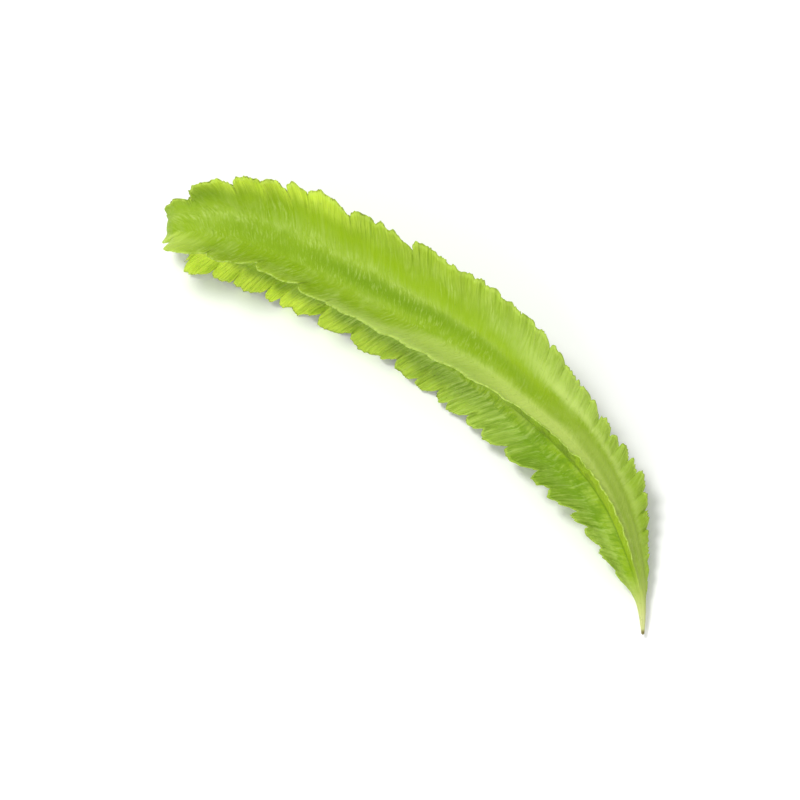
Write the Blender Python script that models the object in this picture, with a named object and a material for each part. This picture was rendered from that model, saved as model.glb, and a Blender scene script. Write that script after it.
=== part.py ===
"""Winged bean pod, as picked: a four-sided, arched pod with four frilled
wings, the dried calyx at its stem end and a short cut stalk.

The pod lies on a level surface on the margins of its two lower wings.
All dimensions below are millimetres and degrees.  The frame is +Z up, with X
from the stem end to the tip, and the origin under the middle of the object.
"""
import math

import bpy
import numpy as np

# ---------------------------------------------------------------- dimensions

MM = 0.001

# The pod's own line and section, from the neck at the stem end to the beak:
#   x, y, z      centre of the section
#   turn         direction of the wing that faces forward, from level-and-back
#   r1 .. r4     reach of the four wings from the centre (back, front,
#                front-lower, back-lower)
#   core         radius of the body at the wings' roots
PROFILE = (
    # x      y      z     turn    r1    r2    r3    r4   core
    (-84.4,  1.0,   5.4, 154.0,  2.2,  2.2,  2.2,  2.2,  2.2),
    (-83.0, -0.7,   7.4, 154.0,  4.4,  4.0,  3.1,  3.1,  3.0),
    (-81.4, -1.0,  10.2, 154.0,  7.2,  6.8,  5.2,  4.4,  4.4),
    (-79.0,  0.1,  12.6, 154.0,  9.0, 10.0, 10.5,  5.9,  5.8),
    (-75.8,  2.1,  13.6, 153.0, 12.2, 14.2, 14.6,  9.0,  6.6),
    (-63.4,  9.0,  13.7, 150.0, 19.8, 17.6, 16.8, 16.5,  7.2),
    (-50.0, 13.7,  13.7, 149.0, 21.3, 16.8, 17.8, 18.4,  7.4),
    (-34.6, 17.4,  13.6, 149.0, 21.0, 17.2, 17.6, 18.8,  7.4),
    (-13.6, 21.2,  13.4, 148.0, 20.8, 16.4, 17.8, 18.6,  7.3),
    ( 12.2, 23.4,  12.4, 138.0, 19.4, 15.4, 17.4, 16.2,  7.1),
    ( 40.2, 20.5,  11.0, 114.0, 14.5, 12.2, 14.9, 12.1,  6.6),
    ( 60.0, 15.7,   9.0, 101.0, 13.4, 10.0, 12.1,  9.4,  5.3),
    ( 75.3,  8.0,   5.6,  94.0,  7.1,  5.8,  6.8,  5.5,  3.3),
    ( 84.6,  2.0,   3.3,  94.0,  1.4,  1.35, 1.4,  1.35, 1.3),
    ( 90.5, -3.9,   2.0,  95.0,  0.4,  0.4,  0.4,  0.4,  0.4),
)

WING_SPREAD = (-90.0, 0.0, 82.0, 169.0)   # each wing's angle from the front one
BODY_SQUARENESS = 1.5                     # 1 = flat faces, 2 = round
WING_ROOT_HALF = 0.95                     # half the wing's thickness at its root
WING_EDGE_HALF = 0.50                     # and at its margin
ROOT_FILLET = 4.6
WING_LEAN = 0.50                          # margins swept toward the stem end
RUFFLE = (0.9, 0.35, 1.1, 1.2)            # sideways wave of each wing's margin
LOBE_DEPTH = 0.30                         # notch depth as part of a lobe's length

STATIONS = 112                            # sections along the pod
FLANK = 4                                 # points on each side of a wing

CALYX_LENGTH = 2.6
CALYX_BASE = 2.1
CALYX_RIM = 2.9
STALK_LENGTH = 6.0
STALK_RADIUS = 1.25
GAP = 0.3                                 # between neighbouring pieces
PRESS_ABOVE = 0.5                         # margins this close to the surface touch it
SINK = 0.35                               # how far the margins press flat


# ------------------------------------------------------------- interpolation

def natural_spline(t, v, at):
    """Natural cubic spline through the rows of v at the parameters t."""
    n = len(t)
    h = np.diff(t)
    a = np.zeros((n, n))
    b = np.zeros((n, v.shape[1]))
    a[0, 0] = a[-1, -1] = 1.0
    for i in range(1, n - 1):
        a[i, i - 1], a[i, i], a[i, i + 1] = h[i - 1], 2 * (h[i - 1] + h[i]), h[i]
        b[i] = 6 * ((v[i + 1] - v[i]) / h[i] - (v[i] - v[i - 1]) / h[i - 1])
    m = np.linalg.solve(a, b)
    i = np.clip(np.searchsorted(t, at) - 1, 0, n - 2)
    u, w = (at - t[i])[:, None], (t[i + 1] - at)[:, None]
    hi = h[i][:, None]
    return (m[i] * w ** 3 + m[i + 1] * u ** 3) / (6 * hi) \
        + (v[i] / hi - m[i] * hi / 6) * w + (v[i + 1] / hi - m[i + 1] * hi / 6) * u


def monotone(t, v, at):
    """Monotone cubic curve through v at t, which never overshoots a row."""
    h = np.diff(t)
    d = np.diff(v) / h
    m = np.zeros(len(v))
    m[0], m[-1] = d[0], d[-1]
    for i in range(1, len(v) - 1):
        if d[i - 1] * d[i] > 0:
            w1, w2 = 2 * h[i] + h[i - 1], h[i] + 2 * h[i - 1]
            m[i] = (w1 + w2) / (w1 / d[i - 1] + w2 / d[i])
    i = np.clip(np.searchsorted(t, at) - 1, 0, len(t) - 2)
    u = (at - t[i]) / h[i]
    return ((1 + 2 * u) * (1 - u) ** 2 * v[i] + u * (1 - u) ** 2 * h[i] * m[i]
            + u * u * (3 - 2 * u) * v[i + 1] + u * u * (u - 1) * h[i] * m[i + 1])


def smooth(a, b, x):
    u = np.clip((x - a) / (b - a), 0.0, 1.0)
    return u * u * (3 - 2 * u)


def smooth_max(a, b, k):
    return np.maximum(a, b) + np.maximum(k - np.abs(a - b), 0.0) ** 2 / (4 * k)


def waves(seed, s, wavelength, terms=4):
    """Smooth, seeded wave along s, about -1 to 1."""
    rng = np.random.default_rng(seed)
    out = np.zeros_like(np.asarray(s, float))
    for _ in range(terms):
        out = out + np.sin(2 * math.pi * s / (wavelength * rng.uniform(0.7, 1.5))
                           + rng.uniform(0, 2 * math.pi))
    return out / math.sqrt(terms) / 1.2


# ------------------------------------------------------------------ the line

class Line:
    """The pod's centre line, its turning frame and its section's sizes."""

    def __init__(self):
        rows = np.array(PROFILE)
        p = rows[:, :3]
        t = np.concatenate([[0], np.cumsum(np.linalg.norm(np.diff(p, axis=0), axis=1))])
        fine = np.linspace(0, t[-1], 1600)
        c = natural_spline(t, p, fine)
        arc = np.concatenate([[0], np.cumsum(np.linalg.norm(np.diff(c, axis=0), axis=1))])
        self.length = arc[-1]
        self.s = np.linspace(0, self.length, 1200)
        at = np.interp(self.s, arc, fine)
        self.c = natural_spline(t, p, at)
        self.turn = monotone(t, rows[:, 3], at)
        self.reach = [monotone(t, rows[:, 4 + k], at) for k in range(4)]
        self.core = monotone(t, rows[:, 8], at)
        tan = np.gradient(self.c, self.s, axis=0)
        tan /= np.linalg.norm(tan, axis=1)[:, None]
        self.tan = tan
        up = np.zeros_like(tan)
        mid = len(tan) // 2
        u = np.array([0, 0, 1.0]) - tan[mid][2] * tan[mid]
        up[mid] = u / np.linalg.norm(u)
        for step in (1, -1):
            i = mid
            while 0 <= i + step < len(tan):
                u = up[i] - np.dot(up[i], tan[i + step]) * tan[i + step]
                i += step
                up[i] = u / np.linalg.norm(u)
        self.up = up
        self.side = np.cross(up, tan)

    def at(self, s, arrays):
        return [np.stack([np.interp(s, self.s, a[:, j]) for j in range(3)], -1)
                if a.ndim == 2 else np.interp(s, self.s, a) for a in arrays]


# ------------------------------------------------------------------ the wings

# Lengths of the lobes of each wing's margin, from the stem end to the tip.
LOBES = (
    (6, 7, 12, 7.5, 7.5, 4.5, 13.5, 6, 12.5, 5.5, 5, 6, 4.5, 5, 6, 4, 5.5, 5, 6, 4.5, 4, 5, 3.5,
     4, 3.5, 4.5, 4, 4, 3.5, 4, 4.5, 3.5, 4, 4, 4, 4),
    (10, 13, 15, 15, 10, 8, 9, 7, 7, 8, 6, 7, 6, 7, 7, 6, 7, 6, 6, 6, 6, 6, 5, 5, 5, 5),
    (6, 7, 9, 7, 10.5, 5, 12.5, 11, 15.5, 9, 7, 5.5, 7, 7, 8, 11, 7.5, 9.5, 6, 6, 7, 6, 5, 5, 5),
    (8, 9, 11, 8, 12, 9, 10, 8, 11, 9, 8, 10, 7, 9, 7, 8, 6, 7, 6, 5, 5, 5, 5, 5),
)


# How deep the notches are along each wing, as (position, factor).
LOBE_STRENGTH = (
    ((0, 1.7), (46, 1.7), (52, 1.2), (78, 1.4), (84, 0.7), (112, 0.9), (133, 1.1), (137, 3.0),
     (160, 2.6), (185, 1.5)),
    ((0, 0.9), (56, 0.8), (75, 0.2), (190, 0.2)),
    ((0, 2.0), (60, 1.6), (110, 1.5), (130, 1.8), (190, 1.2)),
    ((0, 1.4), (190, 1.3)),
)


def lobe_fields(k, s):
    """How far the margin of wing k stands back at s (0 on the fullest crest),
    the lobe's own sideways lean, and how near s is to a notch."""
    width = np.array(LOBES[k], float)
    ends = np.concatenate([[0.0], np.cumsum(width)])
    i = np.clip(np.searchsorted(ends, s, side="right") - 1, 0, len(width) - 1)
    u = np.clip((s - ends[i]) / width[i], 0, 1)
    rng = np.random.default_rng(40 + k)
    near = np.concatenate([[width[0]], (width[:-1] + width[1:]) / 2, [width[-1]]])
    at, factor = zip(*LOBE_STRENGTH[k])
    strength = LOBE_DEPTH * np.interp(ends, at, factor)
    notch = strength * near * rng.uniform(0.6, 1.1, len(near))
    crest = 2.2 * strength[:-1] * rng.uniform(0.0, 1.0, len(width))
    lift = rng.uniform(0.4, 1.0, len(width))[i]
    v = u ** 0.78                         # the crest is nearer the stem end
    arch = np.abs(2 * v - 1) ** 2.7
    side = np.where(v < 0.5, notch[i], notch[i + 1])
    back = crest[i] + (side - crest[i]) * arch
    turn = lift * (1 - 2 * smooth(0.0, 1.0, u)) * smooth(0, 0.12, u) * (1 - smooth(0.9, 1.0, u))
    return back, turn, arch


def margin(line, k, s):
    """Reach of wing k at s, with its lobes."""
    reach, core = line.at(s, [line.reach[k], line.core])
    back = lobe_fields(k, s)[0]
    wing = np.maximum(reach - core, 0)
    back = np.minimum(back * np.clip(wing / 5.0, 0, 1), 0.5 * wing)
    return np.maximum(reach - back, core)


def sideways(line, k, s, h):
    """Sideways wave of wing k at s and height h (0 root, 1 margin)."""
    reach, core = line.at(s, [line.reach[k], line.core])
    wing = np.clip((reach - core) / 10.0, 0, 1.2)
    turn = lobe_fields(k, s)[1]
    d = RUFFLE[k] * wing * (h ** 1.6 * waves(10 + k, s, 13.0) + 0.5 * h ** 2.4 * waves(20 + k, s, 5.5))
    d = d + (0.2 if k == 1 else 0.9) * wing * h ** 2 * turn
    if k == 0:     # the back wing's first lobes roll toward the front
        d = d + 2.6 * h ** 2 * wing * smooth(8, 18, s) * (1 - smooth(30, 48, s))
    if k == 1:     # the front wing bellies out and its margin curls back over
        belly = smooth(104, 130, s) * (1 - smooth(166, 182, s))
        d = d + wing * belly * (2.0 * 4 * h * (1 - h) + 0.5 * h ** 2)
    if k == 2:     # the front-lower wing is crumpled toward the tip
        d = d + wing * smooth(112, 128, s) * (1 - smooth(158, 176, s)) * (
            1.6 * h ** 1.4 * waves(33, s, 9.0) + 0.8 * h ** 2)
    return d


def lean(k, s):
    return WING_LEAN + 0.6 * (1 - smooth(8, 28, s))


# ----------------------------------------------------------------- the pod

def section_grid(line, s, flank):
    """Points of the pod's sections at the positions s, one ring of
    4 * (2 * flank + 2) points each."""
    core, turn = line.at(s, [line.core, line.turn])
    n = BODY_SQUARENESS + (2 - BODY_SQUARENESS) * smooth(0.75, 0.97, s / line.length)
    n = n + (2 - n) * (1 - smooth(3, 14, s))
    ring, heights = [], []
    body_part = max(2, int(round(flank * 0.45)))
    theta = [np.radians(turn + a) for a in WING_SPREAD]
    for k in range(4):
        reach = margin(line, k, s)
        before = (WING_SPREAD[k] - WING_SPREAD[k - 1]) % 360 / 2
        after = (WING_SPREAD[(k + 1) % 4] - WING_SPREAD[k]) % 360 / 2
        wing = np.maximum(reach - core, 0)
        round_off = 1 - smooth(0.03, 0.4, wing / core)
        sides = []
        for sign, gap in ((-1, before), (1, after)):
            pts = []
            for q in range(flank + 1):
                if q <= body_part:
                    f = math.pi / 4 * (1 - q / body_part) + 0.02
                    x = core * np.cos(f) ** (2 / n)
                    yb = core * np.sin(f) ** (2 / n)
                else:
                    g = (q - body_part) / (flank - body_part)
                    x = core + wing * g
                    yb = -(x - core)
                h = np.clip((x - core) / np.maximum(wing, 0.3), 0, 1)
                w = (WING_ROOT_HALF + (WING_EDGE_HALF - WING_ROOT_HALF) * h) * np.minimum(1, core / 4)
                fil = ROOT_FILLET * np.minimum(1, core / 6)
                y = smooth_max(yb, w, fil)
                a = math.radians(45 * (1 - q / (flank + 1)))
                xc, yc = core * math.cos(a), core * math.sin(a)
                x = x + (xc - x) * round_off
                y = y + (yc - y) * round_off
                psi = np.arctan2(y, x) * gap / 45.0
                r = np.hypot(x, y)
                pts.append((r * np.cos(psi), sign * r * np.sin(psi), h))
            sides.append(pts)
        tip = (reach + 0.6 * WING_EDGE_HALF * np.minimum(1, core / 4) * (1 - round_off),
               np.zeros_like(reach), np.ones_like(reach))
        flat = sides[0] + [tip] + sides[1][:0:-1]
        for x, y, h in flat:
            hh = h * np.clip(wing / 2.0, 0, 1)
            y = y + sideways(line, k, s, hh)
            heights.append(hh)
            back = lean(k, s) * np.maximum(x - core, 0)
            c, tan, up, side = line.at(s, [line.c, line.tan, line.up, line.side])
            d = np.cos(theta[k])[:, None] * side + np.sin(theta[k])[:, None] * up
            e = -np.sin(theta[k])[:, None] * side + np.cos(theta[k])[:, None] * up
            ring.append(c + d * x[:, None] + e * y[:, None] - tan * back[:, None])
    return np.stack(ring, axis=1), np.stack(heights, axis=1)


def rest(grid, heights):
    """The limp margins of the two lower wings give way until they meet the
    surface, and lie on it with a narrow flat."""
    per = grid.shape[1] // 4
    for k in (2, 3):
        wing = slice(k * per + 1, (k + 1) * per)
        low = grid[:, wing, 2].min(axis=1)
        give = -low * (1 - smooth(PRESS_ABOVE, PRESS_ABOVE + 0.7, low))
        grid[:, wing, 2] += give[:, None] * heights[:, wing] ** 2
    grid[..., 2] = np.maximum(grid[..., 2] - SINK, 0.0)
    return grid


def loft(grid, start, end):
    """Closed skin over the rings of grid, with a point at each end."""
    ns, nr = grid.shape[:2]
    verts = [tuple(p) for p in grid.reshape(-1, 3)] + [tuple(start), tuple(end)]
    faces = []
    for i in range(ns - 1):
        for j in range(nr):
            a, b = i * nr + j, i * nr + (j + 1) % nr
            c, d = b + nr, a + nr
            faces.append((a, b, c))
            faces.append((a, c, d))
    first, last = ns * nr, ns * nr + 1
    for j in range(nr):
        faces.append((first, (j + 1) % nr, j))
        faces.append((last, (ns - 1) * nr + j, (ns - 1) * nr + (j + 1) % nr))
    return verts, faces


def volume(verts, faces):
    v = np.array(verts)
    f = np.array(faces)
    return float(np.einsum("ij,ij->i", v[f[:, 0]], np.cross(v[f[:, 1]], v[f[:, 2]])).sum() / 6)


def stations(line, count):
    """Positions of the sections: closer together at both ends."""
    u = np.linspace(0, 1, count)
    return line.length * (u + 0.045 * np.sin(2 * math.pi * u) * -1)


# --------------------------------------------------------------- the pieces

def material(name, colour, roughness):
    m = bpy.data.materials.new(name)
    m.use_nodes = True
    p = m.node_tree.nodes["Principled BSDF"]
    p.inputs["Base Color"].default_value = (*colour, 1)
    p.inputs["Roughness"].default_value = roughness
    p.inputs["Metallic"].default_value = 0.0
    return m


def add_mesh(name, verts, faces, mat, group):
    if volume(verts, faces) < 0:
        faces = [f[::-1] for f in faces]
    me = bpy.data.meshes.new(name)
    me.from_pydata([tuple(c * MM for c in v) for v in verts], [], faces)
    me.materials.append(mat)
    me.update()
    me.shade_smooth()
    ob = bpy.data.objects.new(name, me)
    group.objects.link(ob)
    return ob


def neck_frame(line):
    """Point and directions at the pod's stem end, pointing out of the pod."""
    c, tan, up, side = line.at(np.array([0.0]), [line.c, line.tan, line.up, line.side])
    return c[0], -tan[0], up[0], side[0]


def tube(centres, radii, sides, up):
    """Rings of a round tube along centres."""
    centres = np.array(centres)
    tan = np.gradient(centres, axis=0)
    tan /= np.linalg.norm(tan, axis=1)[:, None]
    rings = []
    u = np.array(up, float)
    for c, t, r in zip(centres, tan, radii):
        u = u - np.dot(u, t) * t
        u /= np.linalg.norm(u)
        v = np.cross(t, u)
        rings.append([c + r * (math.cos(a) * u + math.sin(a) * v)
                      for a in np.linspace(0, 2 * math.pi, sides, endpoint=False)])
    return np.array(rings)


def stalk_path(line):
    """Centre line of calyx and stalk, from the neck to the cut end."""
    c, out, up, side = neck_frame(line)
    level = np.array([out[0], out[1], 0.0])
    level /= np.linalg.norm(level)
    pts = [c]
    total = GAP + CALYX_LENGTH + GAP + STALK_LENGTH
    steps = 60
    d = out.copy()
    for i in range(steps):
        goal = level + np.array([0, 0, -0.10])
        d = d + (goal / np.linalg.norm(goal) - d) * 0.45 * total / steps
        d /= np.linalg.norm(d)
        pts.append(pts[-1] + d * total / steps)
    return np.array(pts)


def along(path, a, b, count):
    arc = np.concatenate([[0], np.cumsum(np.linalg.norm(np.diff(path, axis=0), axis=1))])
    at = np.linspace(a, b, count)
    return np.stack([np.interp(at, arc, path[:, j]) for j in range(3)], -1), at


def pod_rings(line, count, flank):
    s = stations(line, count)
    s[0], s[-1] = 0.0, line.length
    return s, rest(*section_grid(line, s, flank))


def main():
    for ob in list(bpy.data.objects):
        bpy.data.objects.remove(ob, do_unlink=True)
    group = bpy.data.collections.new("winged_bean")
    bpy.context.scene.collection.children.link(group)

    line = Line()
    s, grid = pod_rings(line, STATIONS, FLANK)
    path = stalk_path(line)

    path[:, 2] -= SINK
    c, tan = line.at(np.array([0.0, line.length]), [line.c, line.tan])
    start = c[0] - [0, 0, SINK]
    end = c[1] + tan[1] * 0.35 - [0, 0, SINK]

    calyx_at, ca = along(path, GAP, GAP + CALYX_LENGTH, 5)
    u = (ca - ca[0]) / CALYX_LENGTH
    # the collar's rim clasps the neck's end; it narrows toward the stalk
    calyx_r = CALYX_RIM + (CALYX_BASE - CALYX_RIM) * u ** 1.3
    stalk_at, sa = along(path, GAP + CALYX_LENGTH + GAP, GAP + CALYX_LENGTH + GAP + STALK_LENGTH, 14)
    v = (sa - sa[0]) / STALK_LENGTH
    stalk_r = STALK_RADIUS + 0.65 * np.exp(-(v / 0.16) ** 2) + 0.12 * smooth(0.85, 1.0, v)

    everything = np.concatenate([grid.reshape(-1, 3), stalk_at + [STALK_RADIUS, 0, 0],
                                 stalk_at - [STALK_RADIUS, 0, 0]])
    low, high = everything.min(0), everything.max(0)
    shift = np.array([-(low[0] + high[0]) / 2, -(low[1] + high[1]) / 2, 0.0])

    pod_mat = material("pod_skin", (0.33, 0.52, 0.06), 0.45)
    calyx_mat = material("calyx_dry", (0.07, 0.035, 0.02), 0.8)
    stalk_mat = material("stalk_skin", (0.30, 0.44, 0.09), 0.5)

    verts, faces = loft(grid + shift, start + shift, end + shift)
    add_mesh("pod", verts, faces, pod_mat, group)

    rings = tube(calyx_at, calyx_r, 14, (0, 0, 1))
    verts, faces = loft(rings + shift, calyx_at[0] + shift, calyx_at[-1] + shift)
    add_mesh("calyx", verts, faces, calyx_mat, group)

    rings = tube(stalk_at, stalk_r, 12, (0, 0, 1))
    verts, faces = loft(rings + shift, stalk_at[0] + shift, stalk_at[-1] + shift)
    add_mesh("stalk", verts, faces, stalk_mat, group)


if __name__ == "__main__":
    main()
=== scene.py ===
"""Winged bean pod: fine surface, materials, light and camera.

The pod is lofted again from the same rule as the plain solid, at a much finer
pitch, with veins, teeth and small folds in its wings.  Lengths are
millimetres until a mesh is made.
"""
import math

import bpy
import numpy as np
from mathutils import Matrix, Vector


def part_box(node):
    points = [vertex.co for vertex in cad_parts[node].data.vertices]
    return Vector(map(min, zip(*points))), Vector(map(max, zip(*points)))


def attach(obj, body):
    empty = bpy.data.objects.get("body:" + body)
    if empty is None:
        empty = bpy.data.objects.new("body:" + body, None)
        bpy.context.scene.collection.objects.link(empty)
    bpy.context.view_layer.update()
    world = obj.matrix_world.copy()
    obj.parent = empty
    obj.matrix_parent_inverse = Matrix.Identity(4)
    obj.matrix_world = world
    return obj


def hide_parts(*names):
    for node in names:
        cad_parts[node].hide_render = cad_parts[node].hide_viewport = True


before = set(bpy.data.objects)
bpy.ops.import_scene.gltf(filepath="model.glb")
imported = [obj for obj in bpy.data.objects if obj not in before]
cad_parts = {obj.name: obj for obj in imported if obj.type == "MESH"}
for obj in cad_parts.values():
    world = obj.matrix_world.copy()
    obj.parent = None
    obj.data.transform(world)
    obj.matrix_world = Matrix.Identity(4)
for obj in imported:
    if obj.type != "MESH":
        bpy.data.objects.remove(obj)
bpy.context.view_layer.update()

MM = 0.001
STATIONS = 800
FLANK = 13

# The pod's own line and section, from the neck at the stem end to the beak:
#   x, y, z      centre of the section
#   turn         direction of the wing that faces forward, from level-and-back
#   r1 .. r4     reach of the four wings from the centre (back, front,
#                front-lower, back-lower)
#   core         radius of the body at the wings' roots
PROFILE = (
    # x      y      z     turn    r1    r2    r3    r4   core
    (-84.4,  1.0,   5.4, 154.0,  2.2,  2.2,  2.2,  2.2,  2.2),
    (-83.0, -0.7,   7.4, 154.0,  4.4,  4.0,  3.1,  3.1,  3.0),
    (-81.4, -1.0,  10.2, 154.0,  7.2,  6.8,  5.2,  4.4,  4.4),
    (-79.0,  0.1,  12.6, 154.0,  9.0, 10.0, 10.5,  5.9,  5.8),
    (-75.8,  2.1,  13.6, 153.0, 12.2, 14.2, 14.6,  9.0,  6.6),
    (-63.4,  9.0,  13.7, 150.0, 19.8, 17.6, 16.8, 16.5,  7.2),
    (-50.0, 13.7,  13.7, 149.0, 21.3, 16.8, 17.8, 18.4,  7.4),
    (-34.6, 17.4,  13.6, 149.0, 21.0, 17.2, 17.6, 18.8,  7.4),
    (-13.6, 21.2,  13.4, 148.0, 20.8, 16.4, 17.8, 18.6,  7.3),
    ( 12.2, 23.4,  12.4, 138.0, 19.4, 15.4, 17.4, 16.2,  7.1),
    ( 40.2, 20.5,  11.0, 114.0, 14.5, 12.2, 14.9, 12.1,  6.6),
    ( 60.0, 15.7,   9.0, 101.0, 13.4, 10.0, 12.1,  9.4,  5.3),
    ( 75.3,  8.0,   5.6,  94.0,  7.1,  5.8,  6.8,  5.5,  3.3),
    ( 84.6,  2.0,   3.3,  94.0,  1.4,  1.35, 1.4,  1.35, 1.3),
    ( 90.5, -3.9,   2.0,  95.0,  0.4,  0.4,  0.4,  0.4,  0.4),
)

WING_SPREAD = (-90.0, 0.0, 82.0, 169.0)   # each wing's angle from the front one
BODY_SQUARENESS = 1.5                     # 1 = flat faces, 2 = round
WING_ROOT_HALF = 0.95                     # half the wing's thickness at its root
WING_EDGE_HALF = 0.50                     # and at its margin
ROOT_FILLET = 4.6
WING_LEAN = 0.50                          # margins swept toward the stem end
RUFFLE = (0.9, 0.35, 1.1, 1.2)            # sideways wave of each wing's margin
LOBE_DEPTH = 0.30                         # notch depth as part of a lobe's length

COARSE_STATIONS = 112                     # sections of the plain solid
COARSE_FLANK = 4

CALYX_LENGTH = 2.6
CALYX_BASE = 2.1
CALYX_RIM = 2.9
STALK_LENGTH = 6.0
STALK_RADIUS = 1.25
GAP = 0.3                                 # between neighbouring pieces
PRESS_ABOVE = 0.5                         # margins this close to the surface touch it
SINK = 0.35                               # how far the margins press flat


# ------------------------------------------------------------- interpolation

def natural_spline(t, v, at):
    """Natural cubic spline through the rows of v at the parameters t."""
    n = len(t)
    h = np.diff(t)
    a = np.zeros((n, n))
    b = np.zeros((n, v.shape[1]))
    a[0, 0] = a[-1, -1] = 1.0
    for i in range(1, n - 1):
        a[i, i - 1], a[i, i], a[i, i + 1] = h[i - 1], 2 * (h[i - 1] + h[i]), h[i]
        b[i] = 6 * ((v[i + 1] - v[i]) / h[i] - (v[i] - v[i - 1]) / h[i - 1])
    m = np.linalg.solve(a, b)
    i = np.clip(np.searchsorted(t, at) - 1, 0, n - 2)
    u, w = (at - t[i])[:, None], (t[i + 1] - at)[:, None]
    hi = h[i][:, None]
    return (m[i] * w ** 3 + m[i + 1] * u ** 3) / (6 * hi) \
        + (v[i] / hi - m[i] * hi / 6) * w + (v[i + 1] / hi - m[i + 1] * hi / 6) * u


def monotone(t, v, at):
    """Monotone cubic curve through v at t, which never overshoots a row."""
    h = np.diff(t)
    d = np.diff(v) / h
    m = np.zeros(len(v))
    m[0], m[-1] = d[0], d[-1]
    for i in range(1, len(v) - 1):
        if d[i - 1] * d[i] > 0:
            w1, w2 = 2 * h[i] + h[i - 1], h[i] + 2 * h[i - 1]
            m[i] = (w1 + w2) / (w1 / d[i - 1] + w2 / d[i])
    i = np.clip(np.searchsorted(t, at) - 1, 0, len(t) - 2)
    u = (at - t[i]) / h[i]
    return ((1 + 2 * u) * (1 - u) ** 2 * v[i] + u * (1 - u) ** 2 * h[i] * m[i]
            + u * u * (3 - 2 * u) * v[i + 1] + u * u * (u - 1) * h[i] * m[i + 1])


def smooth(a, b, x):
    u = np.clip((x - a) / (b - a), 0.0, 1.0)
    return u * u * (3 - 2 * u)


def smooth_max(a, b, k):
    return np.maximum(a, b) + np.maximum(k - np.abs(a - b), 0.0) ** 2 / (4 * k)


def waves(seed, s, wavelength, terms=4):
    """Smooth, seeded wave along s, about -1 to 1."""
    rng = np.random.default_rng(seed)
    out = np.zeros_like(np.asarray(s, float))
    for _ in range(terms):
        out = out + np.sin(2 * math.pi * s / (wavelength * rng.uniform(0.7, 1.5))
                           + rng.uniform(0, 2 * math.pi))
    return out / math.sqrt(terms) / 1.2


# ------------------------------------------------------------------ the line

class Line:
    """The pod's centre line, its turning frame and its section's sizes."""

    def __init__(self):
        rows = np.array(PROFILE)
        p = rows[:, :3]
        t = np.concatenate([[0], np.cumsum(np.linalg.norm(np.diff(p, axis=0), axis=1))])
        fine = np.linspace(0, t[-1], 1600)
        c = natural_spline(t, p, fine)
        arc = np.concatenate([[0], np.cumsum(np.linalg.norm(np.diff(c, axis=0), axis=1))])
        self.length = arc[-1]
        self.s = np.linspace(0, self.length, 1200)
        at = np.interp(self.s, arc, fine)
        self.c = natural_spline(t, p, at)
        self.turn = monotone(t, rows[:, 3], at)
        self.reach = [monotone(t, rows[:, 4 + k], at) for k in range(4)]
        self.core = monotone(t, rows[:, 8], at)
        tan = np.gradient(self.c, self.s, axis=0)
        tan /= np.linalg.norm(tan, axis=1)[:, None]
        self.tan = tan
        up = np.zeros_like(tan)
        mid = len(tan) // 2
        u = np.array([0, 0, 1.0]) - tan[mid][2] * tan[mid]
        up[mid] = u / np.linalg.norm(u)
        for step in (1, -1):
            i = mid
            while 0 <= i + step < len(tan):
                u = up[i] - np.dot(up[i], tan[i + step]) * tan[i + step]
                i += step
                up[i] = u / np.linalg.norm(u)
        self.up = up
        self.side = np.cross(up, tan)

    def at(self, s, arrays):
        return [np.stack([np.interp(s, self.s, a[:, j]) for j in range(3)], -1)
                if a.ndim == 2 else np.interp(s, self.s, a) for a in arrays]


# ------------------------------------------------------------------ the wings

# Lengths of the lobes of each wing's margin, from the stem end to the tip.
LOBES = (
    (6, 7, 12, 7.5, 7.5, 4.5, 13.5, 6, 12.5, 5.5, 5, 6, 4.5, 5, 6, 4, 5.5, 5, 6, 4.5, 4, 5, 3.5,
     4, 3.5, 4.5, 4, 4, 3.5, 4, 4.5, 3.5, 4, 4, 4, 4),
    (10, 13, 15, 15, 10, 8, 9, 7, 7, 8, 6, 7, 6, 7, 7, 6, 7, 6, 6, 6, 6, 6, 5, 5, 5, 5),
    (6, 7, 9, 7, 10.5, 5, 12.5, 11, 15.5, 9, 7, 5.5, 7, 7, 8, 11, 7.5, 9.5, 6, 6, 7, 6, 5, 5, 5),
    (8, 9, 11, 8, 12, 9, 10, 8, 11, 9, 8, 10, 7, 9, 7, 8, 6, 7, 6, 5, 5, 5, 5, 5),
)


# How deep the notches are along each wing, as (position, factor).
LOBE_STRENGTH = (
    ((0, 1.7), (46, 1.7), (52, 1.2), (78, 1.4), (84, 0.7), (112, 0.9), (133, 1.1), (137, 3.0),
     (160, 2.6), (185, 1.5)),
    ((0, 0.9), (56, 0.8), (75, 0.2), (190, 0.2)),
    ((0, 2.0), (60, 1.6), (110, 1.5), (130, 1.8), (190, 1.2)),
    ((0, 1.4), (190, 1.3)),
)


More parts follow.
